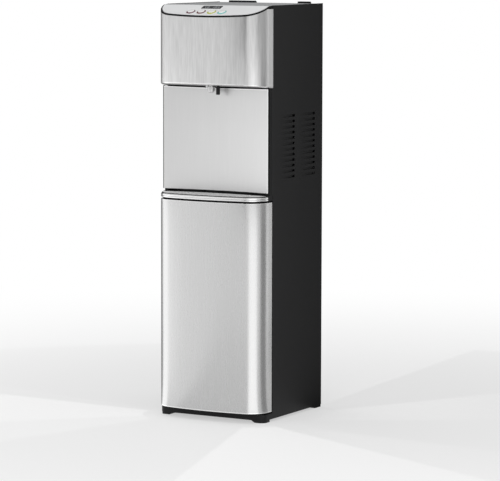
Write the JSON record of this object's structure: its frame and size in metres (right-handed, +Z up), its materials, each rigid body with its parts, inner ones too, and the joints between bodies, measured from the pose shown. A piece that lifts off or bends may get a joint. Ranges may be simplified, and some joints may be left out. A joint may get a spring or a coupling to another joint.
{
  "type": "bottleless water dispenser",
  "caption": "Floor-standing bottleless water dispenser: curved steel front, filter cabinet door, open dispensing bay with drip tray, push-button head, tanks, compressor and rear condenser.",
  "frame": {"origin": "on the floor, under the centre of the overall box", "axes": "+Z up; the curved front faces -Y; +X is to the right of someone who faces the front"},
  "size_m": [0.3048, 0.343, 1.045],
  "materials": {
    "black_sheet": "satin powder coat",
    "stainless": "brushed",
    "chrome": "polished",
    "black_plastic": "fine grain",
    "grey_plastic": "fine grain",
    "light_plastic": "smooth",
    "white_plastic": "smooth",
    "window": "clear dark tint",
    "circuit_board": "solder mask",
    "button_dome": "smooth",
    "galvanised": "galvanised sheet",
    "foam": "expanded foam",
    "tube": "semi-clear tube",
    "copper": "drawn copper",
    "rubber": "moulded",
    "black_paint": "baked enamel",
    "magnet": "sintered",
    "brass_fitting": "turned"
  },
  "bodies": {
    "cabinet": {"base_moulding": "black_plastic", "feet": "black_plastic", "left_side_panel": "black_sheet", "right_side_panel": "black_sheet", "rear_panel": "galvanised", "top_cover": "grey_plastic", "rear_clips": "black_plastic", "front_frame": "black_plastic", "partition": "galvanised", "lower_shelf": "galvanised", "upper_shelf": "galvanised", "head_shell": "black_plastic", "head_fascia": "stainless", "head_trim": "black_plastic", "control_panel": "light_plastic", "display_window": "window", "display_board": "circuit_board", "cold_outlet": "chrome", "hot_outlet": "black_plastic", "dispensing_valves": "white_plastic", "bay_panel": "stainless", "tray_support": "black_plastic", "strike_plates": "galvanised", "hinge_brackets": "black_paint", "filter_bracket": "galvanised", "filter_heads": "white_plastic", "leak_sensor": "white_plastic", "inlet_valve": "white_plastic", "inlet_fitting": "brass_fitting", "water_tubes": "tube", "hot_tank": "stainless", "band_heater": "stainless", "cold_tank": "stainless", "evaporator_jacket": "copper", "cold_insulation": "foam", "drain_outlets": "white_plastic", "compressor": "black_paint", "compressor_mounts": "rubber", "condenser_coil": "black_paint", "condenser_wires": "black_paint", "refrigerant_lines": "copper", "control_box": "white_plastic", "switch_frame": "black_plastic", "cord_gland": "rubber"},
    "door": {"door_skin": "stainless", "door_liner": "black_plastic", "door_magnets": "magnet"},
    "lock_button": {"lock_button": "button_dome"},
    "hot_button": {"hot_button": "button_dome"},
    "room_button": {"room_button": "button_dome"},
    "cold_button": {"cold_button": "button_dome"},
    "drip_tray": {"drip_tray": "black_plastic", "tray_band": "chrome"},
    "drip_grille": {"drip_grille": "grey_plastic"},
    "hot_switch": {"hot_switch": "black_plastic"},
    "cold_switch": {"cold_switch": "black_plastic"},
    "sediment_cartridge": {"sediment_cartridge": "white_plastic"},
    "carbon_cartridge": {"carbon_cartridge": "white_plastic"},
    "hot_drain_cap": {"hot_drain_cap": "black_plastic"},
    "cold_drain_cap": {"cold_drain_cap": "black_plastic"}
  },
  "joints": [
    {"name": "door_hinge", "type": "hinge", "parent": "cabinet", "child": "door", "pos_m": [-0.1444, -0.10545, 0.29], "axis": [0, 0, -1], "range_deg": [0, 110]},
    {"name": "lock_press", "type": "slide", "parent": "cabinet", "child": "lock_button", "axis": [0, 0.3872, -0.922], "range_m": [0, 0.0012], "stiffness_N_per_m": 800, "springref_m": -0.001},
    {"name": "hot_press", "type": "slide", "parent": "cabinet", "child": "hot_button", "axis": [0, 0.3872, -0.922], "range_m": [0, 0.0012], "stiffness_N_per_m": 800, "springref_m": -0.001},
    {"name": "room_press", "type": "slide", "parent": "cabinet", "child": "room_button", "axis": [0, 0.3872, -0.922], "range_m": [0, 0.0012], "stiffness_N_per_m": 800, "springref_m": -0.001},
    {"name": "cold_press", "type": "slide", "parent": "cabinet", "child": "cold_button", "axis": [0, 0.3872, -0.922], "range_m": [0, 0.0012], "stiffness_N_per_m": 800, "springref_m": -0.001},
    {"name": "tray_slide", "type": "slide", "parent": "cabinet", "child": "drip_tray", "axis": [0, -1, 0], "range_m": [0, 0.12]},
    {"name": "grille_lift", "type": "slide", "parent": "drip_tray", "child": "drip_grille", "axis": [0, 0, 1], "range_m": [0, 0.03]},
    {"name": "hot_rocker", "type": "hinge", "parent": "cabinet", "child": "hot_switch", "pos_m": [-0.082, 0.14995, 1], "axis": [1, 0, 0], "range_deg": [0, 20]},
    {"name": "cold_rocker", "type": "hinge", "parent": "cabinet", "child": "cold_switch", "pos_m": [-0.058, 0.14995, 1], "axis": [1, 0, 0], "range_deg": [0, 20]},
    {"name": "sediment_turn", "type": "hinge", "parent": "cabinet", "child": "sediment_cartridge", "pos_m": [0.062, -0.01095, 0.45], "axis": [0, 0, -1], "range_deg": [0, 90]},
    {"name": "carbon_turn", "type": "hinge", "parent": "cabinet", "child": "carbon_cartridge", "pos_m": [-0.062, -0.01095, 0.45], "axis": [0, 0, -1], "range_deg": [0, 90]},
    {"name": "hot_cap_pull", "type": "slide", "parent": "cabinet", "child": "hot_drain_cap", "axis": [0, 1, 0], "range_m": [0, 0.02]},
    {"name": "cold_cap_pull", "type": "slide", "parent": "cabinet", "child": "cold_drain_cap", "axis": [0, 1, 0], "range_m": [0, 0.02]}
  ]
}
